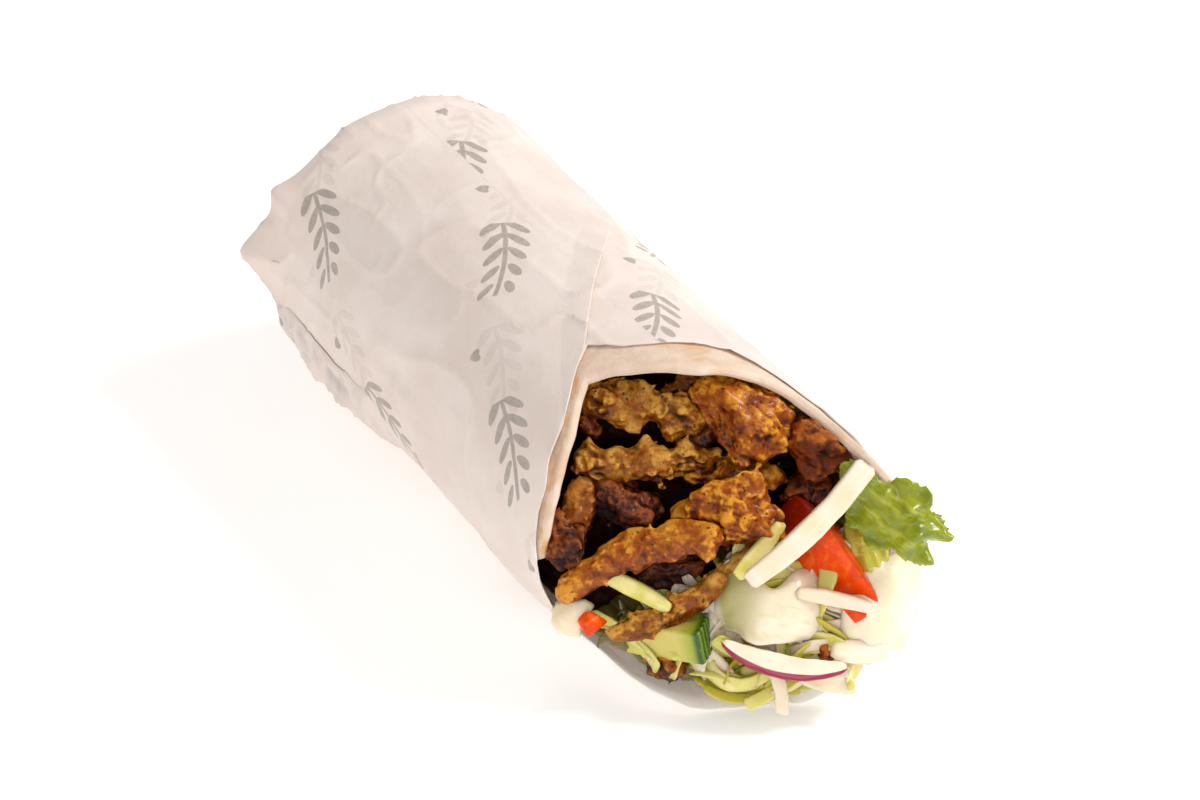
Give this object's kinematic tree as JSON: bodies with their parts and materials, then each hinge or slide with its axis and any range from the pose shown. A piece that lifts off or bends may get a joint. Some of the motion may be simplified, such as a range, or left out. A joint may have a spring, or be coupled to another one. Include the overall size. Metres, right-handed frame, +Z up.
{
  "type": "doner kebab sandwich",
  "caption": "Doner kebab sandwich: seared chicken and salad rolled in flatbread and plain greaseproof paper, open at a slanted mouth, lying on its side",
  "frame": {"origin": "the middle of the flat strip of paper that the roll lies on", "axes": "+X along the roll towards its open mouth, +Y to the right of the mouth seen from behind it, +Z up"},
  "size_m": [0.1911, 0.0882, 0.0752],
  "materials": {
    "paper": "matt greaseproof paper",
    "bread": "floury, toasted along its edge",
    "pale_meat": "torn, slightly moist",
    "golden_meat": "seasoned, slightly moist",
    "browned_meat": "browned, glossy",
    "charred_meat": "charred, glossy",
    "cabbage": "moist, slightly see-through",
    "lettuce": "crisp, glossy",
    "tomato": "wet, glossy",
    "onion": "moist, glossy",
    "cucumber": "wet cut face, ribbed dark skin"
  },
  "bodies": {
    "root": {"paper_wrapper": "paper", "flatbread": "bread", "meat_slab_top": "pale_meat", "meat_slab_mid": "pale_meat", "meat_slice_long": "pale_meat", "meat_slice_low": "pale_meat", "meat_strip_right": "pale_meat", "meat_chunk_golden": "golden_meat", "meat_chunk_centre": "golden_meat", "meat_wedge_left": "golden_meat", "meat_scrap_top": "golden_meat", "meat_crumb_front": "golden_meat", "meat_slab_behind": "golden_meat", "meat_chunk_glazed": "browned_meat", "meat_knob_left": "browned_meat", "meat_lump_inner": "browned_meat", "meat_scrap_right": "browned_meat", "meat_sliver_left": "browned_meat", "kebab_meat": "browned_meat", "meat_chunk_charred": "charred_meat", "meat_chunk_dark": "charred_meat", "meat_chunk_deep": "charred_meat", "cabbage_strip_long": "cabbage", "lettuce_curl": "cabbage", "cabbage_strip_low": "cabbage", "cabbage_strip_tomato": "cabbage", "cabbage_strip_front": "cabbage", "cabbage_rib": "cabbage", "cabbage_leaf": "cabbage", "cabbage_piece_left": "cabbage", "salad_heap": "cabbage", "lettuce_leaf": "lettuce", "lettuce_lining": "lettuce", "tomato_wedge": "tomato", "tomato_bit_left": "tomato", "tomato_bit_right": "tomato", "red_onion_slice": "onion", "onion_end_right": "onion", "onion_layer_right": "onion", "cucumber_piece": "cucumber"}
  },
  "joints": []
}
